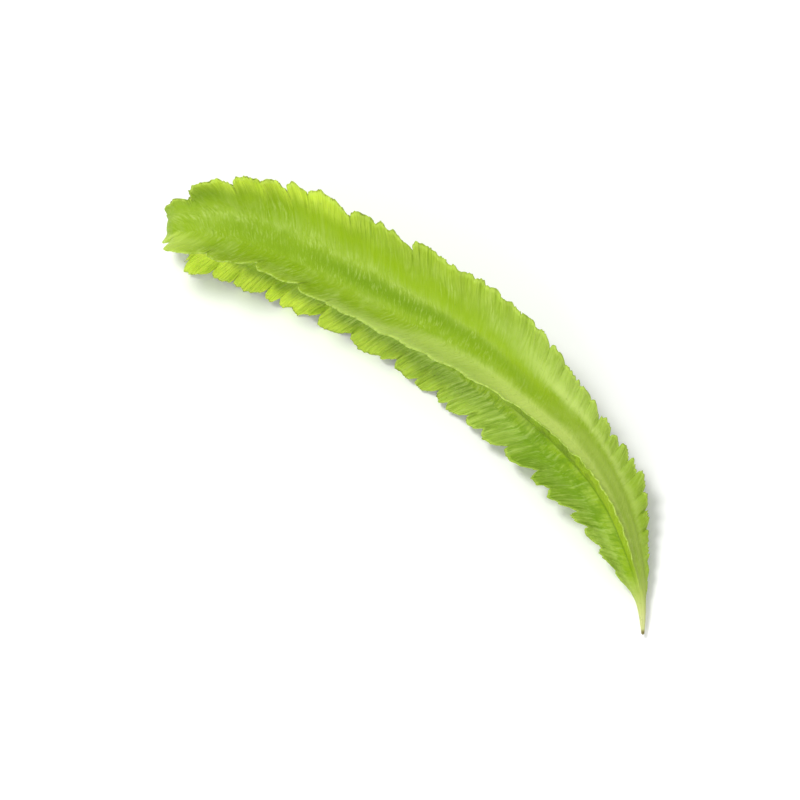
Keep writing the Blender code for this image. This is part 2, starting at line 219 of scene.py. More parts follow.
def lobe_fields(k, s):
    """How far the margin of wing k stands back at s (0 on the fullest crest),
    the lobe's own sideways lean, and how near s is to a notch."""
    width = np.array(LOBES[k], float)
    ends = np.concatenate([[0.0], np.cumsum(width)])
    i = np.clip(np.searchsorted(ends, s, side="right") - 1, 0, len(width) - 1)
    u = np.clip((s - ends[i]) / width[i], 0, 1)
    rng = np.random.default_rng(40 + k)
    near = np.concatenate([[width[0]], (width[:-1] + width[1:]) / 2, [width[-1]]])
    at, factor = zip(*LOBE_STRENGTH[k])
    strength = LOBE_DEPTH * np.interp(ends, at, factor)
    notch = strength * near * rng.uniform(0.6, 1.1, len(near))
    crest = 2.2 * strength[:-1] * rng.uniform(0.0, 1.0, len(width))
    lift = rng.uniform(0.4, 1.0, len(width))[i]
    v = u ** 0.78                         # the crest is nearer the stem end
    arch = np.abs(2 * v - 1) ** 2.7
    side = np.where(v < 0.5, notch[i], notch[i + 1])
    back = crest[i] + (side - crest[i]) * arch
    turn = lift * (1 - 2 * smooth(0.0, 1.0, u)) * smooth(0, 0.12, u) * (1 - smooth(0.9, 1.0, u))
    return back, turn, arch


def margin(line, k, s):
    """Reach of wing k at s, with its lobes."""
    reach, core = line.at(s, [line.reach[k], line.core])
    back = lobe_fields(k, s)[0]
    wing = np.maximum(reach - core, 0)
    back = np.minimum(back * np.clip(wing / 5.0, 0, 1), 0.5 * wing)
    return np.maximum(reach - back, core)


def sideways(line, k, s, h):
    """Sideways wave of wing k at s and height h (0 root, 1 margin)."""
    reach, core = line.at(s, [line.reach[k], line.core])
    wing = np.clip((reach - core) / 10.0, 0, 1.2)
    turn = lobe_fields(k, s)[1]
    d = RUFFLE[k] * wing * (h ** 1.6 * waves(10 + k, s, 13.0) + 0.5 * h ** 2.4 * waves(20 + k, s, 5.5))
    d = d + (0.2 if k == 1 else 0.9) * wing * h ** 2 * turn
    if k == 0:     # the back wing's first lobes roll toward the front
        d = d + 2.6 * h ** 2 * wing * smooth(8, 18, s) * (1 - smooth(30, 48, s))
    if k == 1:     # the front wing bellies out and its margin curls back over
        belly = smooth(104, 130, s) * (1 - smooth(166, 182, s))
        d = d + wing * belly * (2.0 * 4 * h * (1 - h) + 0.5 * h ** 2)
    if k == 2:     # the front-lower wing is crumpled toward the tip
        d = d + wing * smooth(112, 128, s) * (1 - smooth(158, 176, s)) * (
            1.6 * h ** 1.4 * waves(33, s, 9.0) + 0.8 * h ** 2)
    return d


def lean(k, s):
    return WING_LEAN + 0.6 * (1 - smooth(8, 28, s))


# ----------------------------------------------------------------- the pod

def section_grid(line, s, flank):
    """Points of the pod's sections at the positions s, one ring of
    4 * (2 * flank + 2) points each."""
    core, turn = line.at(s, [line.core, line.turn])
    n = BODY_SQUARENESS + (2 - BODY_SQUARENESS) * smooth(0.75, 0.97, s / line.length)
    n = n + (2 - n) * (1 - smooth(3, 14, s))
    ring, heights = [], []
    body_part = max(2, int(round(flank * 0.45)))
    theta = [np.radians(turn + a) for a in WING_SPREAD]
    for k in range(4):
        reach = margin(line, k, s)
        before = (WING_SPREAD[k] - WING_SPREAD[k - 1]) % 360 / 2
        after = (WING_SPREAD[(k + 1) % 4] - WING_SPREAD[k]) % 360 / 2
        wing = np.maximum(reach - core, 0)
        round_off = 1 - smooth(0.03, 0.4, wing / core)
        sides = []
        for sign, gap in ((-1, before), (1, after)):
            pts = []
            for q in range(flank + 1):
                if q <= body_part:
                    f = math.pi / 4 * (1 - q / body_part) + 0.02
                    x = core * np.cos(f) ** (2 / n)
                    yb = core * np.sin(f) ** (2 / n)
                else:
                    g = (q - body_part) / (flank - body_part)
                    x = core + wing * g
                    yb = -(x - core)
                h = np.clip((x - core) / np.maximum(wing, 0.3), 0, 1)
                w = (WING_ROOT_HALF + (WING_EDGE_HALF - WING_ROOT_HALF) * h) * np.minimum(1, core / 4)
                fil = ROOT_FILLET * np.minimum(1, core / 6)
                y = smooth_max(yb, w, fil)
                a = math.radians(45 * (1 - q / (flank + 1)))
                xc, yc = core * math.cos(a), core * math.sin(a)
                x = x + (xc - x) * round_off
                y = y + (yc - y) * round_off
                psi = np.arctan2(y, x) * gap / 45.0
                r = np.hypot(x, y)
                pts.append((r * np.cos(psi), sign * r * np.sin(psi), h))
            sides.append(pts)
        tip = (reach + 0.6 * WING_EDGE_HALF * np.minimum(1, core / 4) * (1 - round_off),
               np.zeros_like(reach), np.ones_like(reach))
        flat = sides[0] + [tip] + sides[1][:0:-1]
        for x, y, h in flat:
            hh = h * np.clip(wing / 2.0, 0, 1)
            y = y + sideways(line, k, s, hh)
            heights.append(hh)
            back = lean(k, s) * np.maximum(x - core, 0)
            c, tan, up, side = line.at(s, [line.c, line.tan, line.up, line.side])
            d = np.cos(theta[k])[:, None] * side + np.sin(theta[k])[:, None] * up
            e = -np.sin(theta[k])[:, None] * side + np.cos(theta[k])[:, None] * up
            ring.append(c + d * x[:, None] + e * y[:, None] - tan * back[:, None])
    return np.stack(ring, axis=1), np.stack(heights, axis=1)


def rest(grid, heights):
    """The limp margins of the two lower wings give way until they meet the
    surface, and lie on it with a narrow flat."""
    per = grid.shape[1] // 4
    for k in (2, 3):
        wing = slice(k * per + 1, (k + 1) * per)
        low = grid[:, wing, 2].min(axis=1)
        give = -low * (1 - smooth(PRESS_ABOVE, PRESS_ABOVE + 0.7, low))
        grid[:, wing, 2] += give[:, None] * heights[:, wing] ** 2
    grid[..., 2] = np.maximum(grid[..., 2] - SINK, 0.0)
    return grid


def loft(grid, start, end):
    """Closed skin over the rings of grid, with a point at each end."""
    ns, nr = grid.shape[:2]
    verts = [tuple(p) for p in grid.reshape(-1, 3)] + [tuple(start), tuple(end)]
    faces = []
    for i in range(ns - 1):
        for j in range(nr):
            a, b = i * nr + j, i * nr + (j + 1) % nr
            c, d = b + nr, a + nr
            faces.append((a, b, c))
            faces.append((a, c, d))
    first, last = ns * nr, ns * nr + 1
    for j in range(nr):
        faces.append((first, (j + 1) % nr, j))
        faces.append((last, (ns - 1) * nr + j, (ns - 1) * nr + (j + 1) % nr))
    return verts, faces


def volume(verts, faces):
    v = np.array(verts)
    f = np.array(faces)
    return float(np.einsum("ij,ij->i", v[f[:, 0]], np.cross(v[f[:, 1]], v[f[:, 2]])).sum() / 6)


def stations(line, count):
    """Positions of the sections: closer together at both ends."""
    u = np.linspace(0, 1, count)
    return line.length * (u + 0.045 * np.sin(2 * math.pi * u) * -1)



# --------------------------------------------------- calyx and stalk lines

def neck_frame(line):
    """Point and directions at the pod's stem end, pointing out of the pod."""
    c, tan, up, side = line.at(np.array([0.0]), [line.c, line.tan, line.up, line.side])
    return c[0], -tan[0], up[0], side[0]


def tube(centres, radii, sides, up):
    """Rings of a round tube along centres."""
    centres = np.array(centres)
    tan = np.gradient(centres, axis=0)
    tan /= np.linalg.norm(tan, axis=1)[:, None]
    rings = []
    u = np.array(up, float)
    for c, t, r in zip(centres, tan, radii):
        u = u - np.dot(u, t) * t
        u /= np.linalg.norm(u)
        v = np.cross(t, u)
        rings.append([c + r * (math.cos(a) * u + math.sin(a) * v)
                      for a in np.linspace(0, 2 * math.pi, sides, endpoint=False)])
    return np.array(rings)


def stalk_path(line):
    """Centre line of calyx and stalk, from the neck to the cut end."""
    c, out, up, side = neck_frame(line)
    level = np.array([out[0], out[1], 0.0])
    level /= np.linalg.norm(level)
    pts = [c]
    total = GAP + CALYX_LENGTH + GAP + STALK_LENGTH
    steps = 60
    d = out.copy()
    for i in range(steps):
        goal = level + np.array([0, 0, -0.10])
        d = d + (goal / np.linalg.norm(goal) - d) * 0.45 * total / steps
        d /= np.linalg.norm(d)
        pts.append(pts[-1] + d * total / steps)
    return np.array(pts)


def along(path, a, b, count):
    arc = np.concatenate([[0], np.cumsum(np.linalg.norm(np.diff(path, axis=0), axis=1))])
    at = np.linspace(a, b, count)
    return np.stack([np.interp(at, arc, path[:, j]) for j in range(3)], -1), at



# ------------------------------------------------------------- the fine pod

def tooth(seed, s, pitch):
    """Fine irregular teeth along a margin, 0 to 1."""
    ph = s / pitch + 0.6 * waves(seed, s, 5.0) + 0.25 * waves(seed + 1, s, 2.3)
    f = ph - np.floor(ph)
    return np.where(f < 0.35, f / 0.35, (1 - f) / 0.65)


TEETH = (0.75, 0.20, 0.45, 0.55)          # depth of each wing's fine teeth
FOLDS = (1.0, 0.35, 1.5, 1.3)             # strength of each wing's small folds


def fine_margin(line, k, s):
    reach = margin(line, k, s)
    core = line.at(s, [line.core])[0]
    wing = np.clip((reach - core) / 4.0, 0, 1)
    amount = TEETH[k] * (0.55 + 0.45 * np.clip(waves(70 + k, s, 11.0), -1, 1))
    if k == 1:     # most ragged toward the tip
        amount = amount * (1 + 1.6 * smooth(130, 142, s))
    else:
        amount = amount * (1 + 0.5 * smooth(150, 160, s))
    nick = 0.45 * (0.5 + 0.5 * np.clip(waves(75 + k, s, 2.6, 5), -1, 1)) * (TEETH[k] / 0.5)
    return reach - (amount * (1 - tooth(60 + k, s, 1.25)) + nick) * wing


def fine_sideways(line, k, s, h):
    """Small folds of the wing beside the large ones."""
    reach, core = line.at(s, [line.reach[k], line.core])
    wing = np.clip((reach - core) / 9.0, 0, 1.1)
    bent = s + 0.5 * h * waves(85 + k, s, 15.0)
    d = 0.22 * h ** 2.6 * waves(80 + k, bent, 3.6, 5)
    d = d + 0.13 * (smooth(0.1, 0.6, h) if k == 2 else smooth(0.45, 0.9, h)) * waves(90 + k, bent + 0.6 * h, 1.9, 5)
    # folds that start at the notches and run inward
    back = lobe_fields(k, s)[0]
    d = d - 0.28 * smooth(0.45, 0.95, h) * back
    # a soft fold along the wing, a third of the way out
    d = d + 0.35 * wing * np.sin(math.pi * np.clip(h, 0, 1)) * waves(100 + k, s, 24.0, 3)
    if k == 0:
        d = d * (1 - 0.60 * smooth(86, 100, s) * (1 - smooth(128, 140, s)))
    if k == 1:
        d = d * (1 + 2.4 * smooth(130, 142, s) * (1 - smooth(172, 182, s)))
    return FOLDS[k] * d * wing


def fine_grid(line, s, flank):
    core, turn = line.at(s, [line.core, line.turn])
    n = BODY_SQUARENESS + (2 - BODY_SQUARENESS) * smooth(0.75, 0.97, s / line.length)
    n = n + (2 - n) * (1 - smooth(3, 14, s))
    ring, heights, kinds = [], [], []
    body_part = max(2, int(round(flank * 0.45)))
    theta = [np.radians(turn + a) for a in WING_SPREAD]
    frames = line.at(s, [line.c, line.tan, line.up, line.side])
    c, tan, up, side = frames
    for k in range(4):
        reach = fine_margin(line, k, s)
        before = (WING_SPREAD[k] - WING_SPREAD[k - 1]) % 360 / 2
        after = (WING_SPREAD[(k + 1) % 4] - WING_SPREAD[k]) % 360 / 2
        wing = np.maximum(reach - core, 0)
        round_off = 1 - smooth(0.03, 0.4, wing / core)
        sides = []
        for sign, gap in ((-1, before), (1, after)):
            pts = []
            for q in range(flank + 1):
                if q <= body_part:
                    f = math.pi / 4 * (1 - q / body_part) + 0.02 * q / body_part
                    x = core * np.cos(f) ** (2 / n)
                    yb = core * np.sin(f) ** (2 / n)
                else:
                    g = (q - body_part) / (flank - body_part)
                    g = 1 - (1 - g) ** 1.15
                    x = core + wing * g
                    yb = -(x - core)
                h = np.clip((x - core) / np.maximum(wing, 0.3), 0, 1)
                w = (WING_ROOT_HALF + (EDGE_HALF - WING_ROOT_HALF) * h ** 0.8) * np.minimum(1, core / 4)
                fil = ROOT_FILLET * np.minimum(1, core / 6)
                y = smooth_max(yb, w, fil)
                a = math.radians(45 * (1 - q / (flank + 1)))
                xc, yc = core * math.cos(a), core * math.sin(a)
                x = x + (xc - x) * round_off
                y = y + (yc - y) * round_off
                psi = np.arctan2(y, x) * gap / 45.0
                r = np.hypot(x, y)
                if q <= body_part:      # shallow swellings over the seeds
                    b = math.sin(math.pi / 2 * (1 - q / body_part))
                    r = r + 0.16 * b * waves(120 + (k if sign > 0 else (k - 1) % 4), s, 11.0) * np.minimum(1, core / 5)
                pts.append((r * np.cos(psi), sign * r * np.sin(psi), h, sign * (1 - q / flank)))
            for _ in range(3):              # soften the junction of body and wing
                near = {q: [0.25 * pts[q - 1][c] + 0.5 * pts[q][c] + 0.25 * pts[q + 1][c] for c in (0, 1)]
                        for q in range(body_part - 2, body_part + 3)}
                for q, (x, y) in near.items():
                    pts[q] = (x, y, pts[q][2], pts[q][3])
            sides.append(pts)
        one = np.ones_like(reach)
        tip = (reach + 0.7 * EDGE_HALF * np.minimum(1, core / 4) * (1 - round_off), 0 * one, one, 0.0)
        flat = sides[0] + [tip] + sides[1][:0:-1]
        for x, y, h, kind in flat:
            hh = h * np.clip(wing / 2.0, 0, 1)
            y = y + sideways(line, k, s, hh) + fine_sideways(line, k, s, hh)
            heights.append(hh)
            kinds.append((k, kind))
            back = lean(k, s) * np.maximum(x - core, 0)
            d = np.cos(theta[k])[:, None] * side + np.sin(theta[k])[:, None] * up
            e = -np.sin(theta[k])[:, None] * side + np.cos(theta[k])[:, None] * up
            ring.append(c + d * x[:, None] + e * y[:, None] - tan * back[:, None])
    return np.stack(ring, axis=1), np.stack(heights, axis=1), kinds


EDGE_HALF = 0.23                          # thinner margins than the plain solid's


def quad_mesh(name, grid, start, end, uv_height=0.8, panel=None):
    """Smooth quad skin over the rings, with a UV map that follows them and,
    if given, the ring's panel coordinate on the corners."""
    ns, nr = grid.shape[:2]
    verts = np.concatenate([grid.reshape(-1, 3), [start], [end]]) * MM
    faces, uvs = [], []
    for i in range(ns - 1):
        for j in range(nr):
            a, b = i * nr + j, i * nr + (j + 1) % nr
            faces.append((a, b, b + nr, a + nr))
            uvs.append(((i, j), (i, j + 1), (i + 1, j + 1), (i + 1, j)))
    first, last = ns * nr, ns * nr + 1
    for j in range(nr):
        faces.append((first, (j + 1) % nr, j))
        uvs.append(((-1, j + .5), (0, j + 1), (0, j)))
        faces.append((last, (ns - 1) * nr + j, (ns - 1) * nr + (j + 1) % nr))
        uvs.append(((ns, j + .5), (ns - 1, j), (ns - 1, j + 1)))
    tri = [(f[0], f[1], f[2]) for f in faces] + [(f[0], f[2], f[3]) for f in faces if len(f) == 4]
    if volume(verts, tri) < 0:
        faces = [f[::-1] for f in faces]
        uvs = [u[::-1] for u in uvs]
    me = bpy.data.meshes.new(name)
    me.from_pydata([tuple(v) for v in verts], [], faces)
    layer = me.uv_layers.new(name="OFBake")
    flat = [c for u in uvs for c in u]
    vals = np.array([((p[0] + 1.5) / (ns + 2), p[1] / nr * uv_height) for p in flat], np.float32)
    layer.data.foreach_set("uv", vals.ravel())
    if panel is not None:
        at = me.attributes.new("panel", "FLOAT", "CORNER")
        at.data.foreach_set("value", np.interp([p[1] for p in flat], range(nr + 1), panel).astype(np.float32))
    me.shade_smooth()
    me.update()
    ob = bpy.data.objects.new(name, me)
    bpy.context.scene.collection.objects.link(ob)
    return ob


def add_attribute(ob, name, values):
    at = ob.data.attributes.new(name, "FLOAT", "POINT")
    at.data.foreach_set("value", np.asarray(values, np.float32))


# ------------------------------------------------------------- node helpers

class Nodes:
    """Short way to write a material's node tree."""

    def __init__(self, name):
        self.mat = bpy.data.materials.new(name)
        self.mat.use_nodes = True
        self.t = self.mat.node_tree
        self.bsdf = self.t.nodes["Principled BSDF"]

    def put(self, kind, **props):
        n = self.t.nodes.new(kind)
        for k, v in props.items():
            setattr(n, k, v)
        return n

    def link(self, value, socket):
        if isinstance(value, (int, float)):
            socket.default_value = value
        elif isinstance(value, (tuple, list)):
            socket.default_value = value if len(value) == len(socket.default_value) else (*value, 1)
        else:
            self.t.links.new(value, socket)

    def attr(self, name):
        return self.put("ShaderNodeAttribute", attribute_name=name).outputs["Fac"]

    def math(self, op, a, b=0.0, c=0.0, clamp=False):
        n = self.put("ShaderNodeMath", operation=op, use_clamp=clamp)
        for i, v in enumerate((a, b, c)):
            self.link(v, n.inputs[i])
        return n.outputs[0]

    def add(self, a, b):
        return self.math("ADD", a, b)

    def mul(self, a, b):
        return self.math("MULTIPLY", a, b)

    def step(self, a, b, x, lo=0.0, hi=1.0):
        n = self.put("ShaderNodeMapRange", interpolation_type="SMOOTHSTEP")
        for i, v in enumerate((x, a, b, lo, hi)):
            self.link(v, n.inputs[i])
        return n.outputs[0]

    def band(self, x, centre, half):
        """1 at the centre of a soft band and 0 from half its width on."""
        return self.step(1.0, 0.0, self.math("DIVIDE", self.math("ABSOLUTE", self.math("SUBTRACT", x, centre)), half))

    def curve(self, x, points):
        """Piecewise straight curve through points of (x, value)."""
        out = points[0][1]
        for (x0, v0), (x1, v1) in zip(points[:-1], points[1:]):
            n = self.put("ShaderNodeMapRange", interpolation_type="LINEAR")
            for i, v in enumerate((x, x0, x1, 0.0, v1 - v0)):
                self.link(v, n.inputs[i])
            out = self.add(out, n.outputs[0])
        return out

    def vec(self, x, y, z=0.0):
        n = self.put("ShaderNodeCombineXYZ")
        for i, v in enumerate((x, y, z)):
            self.link(v, n.inputs[i])
        return n.outputs[0]

    def noise(self, vector, scale, detail=2.0, rough=0.5, distort=0.0):
        n = self.put("ShaderNodeTexNoise")
        self.link(vector, n.inputs["Vector"])
        n.inputs["Scale"].default_value = scale
        n.inputs["Detail"].default_value = detail
        n.inputs["Roughness"].default_value = rough
        n.inputs["Distortion"].default_value = distort
        return n.outputs["Fac"]

    def mix(self, f, a, b):
        n = self.put("ShaderNodeMix", data_type="RGBA")
        self.link(f, n.inputs[0])
        self.link(a, n.inputs[6])
        self.link(b, n.inputs[7])
        return n.outputs[2]

    def bump(self, height, distance, strength=1.0, normal=None):
        n = self.put("ShaderNodeBump")
        n.inputs["Strength"].default_value = strength
        n.inputs["Distance"].default_value = distance
        self.link(height, n.inputs["Height"])
        if normal is not None:
            self.link(normal, n.inputs["Normal"])
        return n.outputs["Normal"]


def skin_material():
    m = Nodes("pod_skin_fine")
    s, h, wing, pan = m.attr("along"), m.attr("height"), m.attr("wing"), m.attr("panel")
    pos = m.put("ShaderNodeTexCoord").outputs["Object"]
    # the same coordinate with its jump moved to the back wing's margin
    round_ = m.add(pan, m.mul(m.math("LESS_THAN", pan, 0.0), 8.0))
    across = m.mul(round_, 9.0)

    cloud = m.noise(pos, 150.0, 3.0, 0.6)
    broad = m.noise(pos, 45.0, 2.0, 0.5)
    # fibres, ribs and folds run from root to margin, leaning to the stem end
    slant = m.mul(m.math("MINIMUM", m.math("MAXIMUM", m.add(round_, -0.57), 0.0), 0.86), -5.3)
    slant = m.add(slant, m.mul(m.math("MINIMUM", m.math("MAXIMUM", m.add(round_, -2.2), 0.0), 1.6), 2.5))
    swing = m.add(3.6, m.mul(m.mul(m.step(1.9, 2.4, round_), m.step(70, 96, s)), -2.3))
    drift = m.add(m.add(s, slant), m.mul(m.noise(m.vec(m.mul(s, 0.10), m.mul(across, 0.12)), 1.0, 2.0), swing))
    fibre = m.step(0.38, 0.62, m.noise(m.vec(m.mul(drift, 1.7), m.mul(across, 0.13), 3.0), 1.0, 4.0, 0.62))
    rib = m.step(0.38, 0.62, m.noise(m.vec(m.mul(drift, 0.75), m.mul(across, 0.11), 9.0), 1.0, 3.0, 0.6))
    thread = m.step(0.40, 0.60, m.noise(m.vec(m.mul(drift, 3.6), m.mul(across, 0.22), 6.0), 1.0, 3.0, 0.6))
    # short flecks in the skin, in patches, and broader furrows
    fleck = m.noise(m.vec(m.mul(drift, 1.55), m.mul(across, 0.50), 12.0), 1.0, 3.0, 0.65)
    patchy = m.add(0.35, m.mul(m.step(0.42, 0.60, m.noise(m.vec(m.mul(s, 0.16), m.mul(across, 0.20), 15.0), 1.0, 2.0)), 0.65))
    furrows = m.noise(m.vec(m.mul(drift, 0.95), m.mul(across, 0.12), 21.0), 1.0, 3.0, 0.6)
    on_wing = m.step(0.0, 0.35, h)
    outward = m.step(0.35, 0.80, h)
    third = m.band(wing, 2.0, 0.5)

    rich = (0.255, 0.405, 0.0055)
    mid = (0.268, 0.412, 0.020)
    deep = (0.200, 0.338, 0.006)
    pale = (0.325, 0.462, 0.072)
    paler = (0.450, 0.575, 0.145)
    lime = (0.455, 0.625, 0.045)
    grass = (0.150, 0.280, 0.006)

    # all over: patches of the richer and the paler green
    colour = m.mix(m.step(0.38, 0.62, broad), mid, (0.226, 0.370, 0.008))
    colour = m.mix(m.mul(m.step(0.44, 0.66, cloud), 0.50), colour, pale)

    # the face between the back and the front wing
    upper = m.mul(m.step(-0.001, 0.001, pan), m.step(2.001, 1.999, pan))
    wander = m.add(m.add(pan, m.mul(m.add(broad, -0.5), 0.34)), m.mul(m.add(fibre, -0.5), 0.03))
    centre = m.curve(s, [(20, 0.20), (50, 0.27), (85, 0.47), (115, 0.66), (140, 0.86), (165, 1.0)])
    strength = m.curve(s, [(18, 0.2), (36, 0.95), (80, 0.95), (122, 0.85), (136, 0.45), (150, 0.12), (165, 0.0)])
    yellow = m.mul(m.mul(m.band(wander, centre, 0.27), strength), upper)
    colour = m.mix(yellow, colour, rich)
    centre = m.curve(s, [(20, 1.00), (38, 1.12), (60, 1.04), (80, 0.94), (100, 0.90), (118, 0.88)])
    strength = m.curve(s, [(14, 0.3), (30, 0.8), (80, 1.0), (112, 0.9), (130, 0.0)])
    half = m.curve(s, [(20, 0.34), (40, 0.46), (65, 0.46), (88, 0.34), (105, 0.25)])
    dark = m.mul(m.mul(m.band(wander, centre, half), strength), upper)
    colour = m.mix(dark, colour, deep)
    core = m.mul(m.mul(m.band(wander, m.curve(s, [(50, 1.00), (70, 0.93), (90, 0.87)]), 0.27), upper), m.curve(s, [(42, 0.0), (60, 0.64), (82, 0.62), (98, 0.18), (108, 0.0)]))
    colour = m.mix(core, colour, (0.140, 0.262, 0.003))
    calm = m.mul(m.mul(m.band(wander, 0.95, 0.75), m.curve(s, [(122, 0.0), (142, 0.75), (175, 0.85)])), upper)
    colour = m.mix(calm, colour, (0.362, 0.495, 0.075))
    # pale streaks across the middle of that face
    centre = m.curve(s, [(10, 0.80), (30, 0.66), (50, 0.58), (80, 0.62), (110, 0.70)])
    strength = m.curve(s, [(6, 0.4), (35, 0.5), (50, 0.55), (82, 0.36), (115, 0.20), (130, 0.0)])
    zone = m.mul(m.mul(m.band(wander, centre, 0.34), strength), upper)
    colour = m.mix(m.mul(zone, m.add(0.10, m.add(m.mul(fibre, 0.50), m.mul(rib, 0.35)))), colour, (0.390, 0.530, 0.100))
    # the front wing's inner face turns pale past the pod's middle
    begin = m.curve(s, [(55, 1.90), (75, 1.62), (90, 1.22), (112, 1.00), (135, 1.00), (150, 1.15), (175, 1.3)])
    strength = m.curve(s, [(52, 0.0), (72, 0.55), (88, 0.75), (112, 0.78), (130, 0.9), (150, 0.7), (168, 0.55), (185, 0.3)])
    inner = m.step(0.0, 0.36, m.math("SUBTRACT", wander, begin))
    inner = m.mul(m.mul(inner, strength), upper)
    colour = m.mix(m.mul(inner, m.add(0.90, m.mul(rib, 0.10))), colour, m.mix(m.step(100, 125, s), (0.465, 0.605, 0.125), (0.530, 0.665, 0.150)))
    lit = m.mul(m.mul(m.step(1.62, 1.97, pan), upper), m.curve(s, [(56, 0.0), (68, 0.50), (86, 0.62), (104, 0.55), (122, 0.40), (135, 0.1)]))
    colour = m.mix(lit, colour, (0.520, 0.680, 0.160))
    # the back wing: pale from the middle on, with a painted highlight along the ridge at its foot
    strength = m.curve(s, [(90, 0.0), (112, 0.40), (130, 0.60), (148, 0.25), (175, 0.10)])
    back = m.mul(m.mul(m.step(0.55, 0.25, wander), strength), upper)
    colour = m.mix(m.mul(back, m.add(0.75, m.mul(fibre, 0.25))), colour, (0.400, 0.530, 0.115))
    # painted highlight: a paler streak along the back wing's foot
    strength = m.curve(s, [(108, 0.0), (124, 0.75), (150, 0.55), (165, 0.20), (182, 0.0)])
    ridge_highlight = m.mul(m.mul(m.band(wander, m.curve(s, [(112, 0.34), (135, 0.38), (150, 0.46)]), 0.17), strength), upper)
    colour = m.mix(ridge_highlight, colour, (0.490, 0.625, 0.150))

    # the face below the front wing: grass green, greyer on the outer wing
    lower = m.mul(m.step(1.999, 2.001, pan), m.step(4.001, 3.999, pan))
    outer = m.mul(m.step(3.0, 3.5, wander), lower)
    colour = m.mix(m.mul(outer, m.curve(s, [(42, 0.0), (62, 0.80), (90, 0.90), (170, 0.7)])), colour, (0.315, 0.455, 0.072))
    shade = m.mul(m.mul(lower, m.step(2.70, 3.30, pan)), m.curve(s, [(118, 0.0), (132, 0.95), (152, 0.80), (168, 0.0)]))
    colour = m.mix(m.mul(shade, m.add(0.40, m.mul(m.step(0.62, 0.42, cloud), 0.60))), colour, (0.140, 0.270, 0.004))
    # painted shade in the hollows of the front-lower wing's folds, along its ribs
    far = m.add(pan, m.add(m.mul(m.add(rib, -0.5), -0.5), m.mul(m.add(broad, -0.5), 0.8)))
    fold = m.mul(m.mul(m.step(0.55, 0.0, rib), m.mul(lower, m.step(2.75, 3.45, far))), m.curve(s, [(60, 0.10), (90, 0.25), (118, 0.50), (132, 0.95), (160, 0.90), (178, 0.3)]))
    colour = m.mix(fold, colour, (0.150, 0.285, 0.006))
    # painted shade in the crease at the front wing's foot, on its outer face
    crease_shade = m.mul(m.mul(m.band(m.add(pan, m.mul(m.add(broad, -0.5), 0.2)), 2.50, 0.26), lower), m.curve(s, [(60, 0.2), (95, 0.5), (126, 0.9), (165, 0.9), (182, 0.1)]))
    colour = m.mix(crease_shade, colour, (0.100, 0.205, 0.004))
    # the strip of the front wing's outer face by its margin is vivid
    strip = m.mul(m.mul(m.step(2.40, 2.28, pan), lower), m.curve(s, [(112, 0.0), (126, 0.95), (165, 0.95), (180, 0.0)]))
    colour = m.mix(strip, colour, m.mix(m.step(138, 152, s), (0.190, 0.325, 0.005), (0.270, 0.415, 0.012)))
    # painted shade in dark blotches on that strip toward the tip
    strip_shade_blots = m.mul(m.mul(strip, m.step(0.40, 0.54, m.noise(m.vec(m.mul(s, 0.28), m.mul(pan, 3.0), 30.0), 1.0, 3.0, 0.6))), m.curve(s, [(120, 0.0), (128, 0.75), (146, 0.65), (160, 0.0)]))
    colour = m.mix(strip_shade_blots, colour, (0.115, 0.190, 0.010))
    # painted shade just under the front wing's margin, on its outer face
    shade_under_margin = m.mul(m.mul(m.step(2.22, 2.06, pan), lower), m.curve(s, [(10, 0.50), (30, 0.75), (60, 0.70), (100, 0.60), (118, 0.2), (125, 0.0)]))
    colour = m.mix(shade_under_margin, colour, (0.120, 0.225, 0.006))

    dim = m.mul(m.mul(lower, m.step(3.25, 3.65, pan)), m.curve(s, [(48, 0.0), (66, 0.55), (96, 0.50), (114, 0.0)]))
    colour = m.mix(dim, colour, (0.200, 0.345, 0.022))
    patch = m.step(0.46, 0.62, m.noise(m.vec(m.mul(s, 0.12), m.mul(pan, 1.4), 40.0), 1.0, 2.0))
    patch = m.mul(m.mul(patch, m.mul(lower, m.step(2.35, 2.70, pan))), m.curve(s, [(116, 0.0), (130, 0.65), (160, 0.65), (176, 0.0)]))
    colour = m.mix(patch, colour, (0.118, 0.238, 0.004))
    # flecks and furrows
    patchy = m.mul(patchy, m.math("SUBTRACT", 1.0, m.mul(m.mul(dark, upper), 0.4)))
    patchy = m.mul(patchy, m.math("SUBTRACT", 1.0, m.mul(upper, m.curve(s, [(95, 0.0), (116, 0.40), (180, 0.50)]))))
    patchy = m.mul(patchy, m.math("SUBTRACT", 1.0, m.mul(m.mul(lower, m.step(3.10, 2.70, pan)), m.curve(s, [(92, 0.0), (108, 0.75), (160, 0.60)]))))
    patchy = m.mul(patchy, m.math("SUBTRACT", 1.0, m.mul(lower, m.curve(s, [(112, 0.0), (128, 0.55)]))))
    much = m.mul(patchy, m.math("SUBTRACT", m.add(1.0, m.mul(lower, 0.25)), m.math("MAXIMUM", m.mul(inner, 0.50), m.mul(yellow, 0.80))))
    colour = m.mix(m.mul(m.mul(m.step(0.51, 0.64, fleck), much), 0.55), colour, (0.435, 0.575, 0.130))
    colour = m.mix(m.mul(m.mul(m.step(0.49, 0.36, fleck), much), 0.48), colour, (0.175, 0.305, 0.006))
    deepness = m.mul(m.mul(lower, m.step(2.30, 2.90, pan)), m.curve(s, [(28, 0.12), (65, 0.62), (118, 0.60), (130, 0.36), (140, 0.28), (160, 0.42), (178, 0.1)]))
    colour = m.mix(m.mul(m.step(0.50, 0.38, furrows), deepness), colour, (0.135, 0.255, 0.010))
    colour = m.mix(m.mul(m.mul(m.step(0.53, 0.66, furrows), deepness), 0.8), colour, (0.430, 0.580, 0.155))

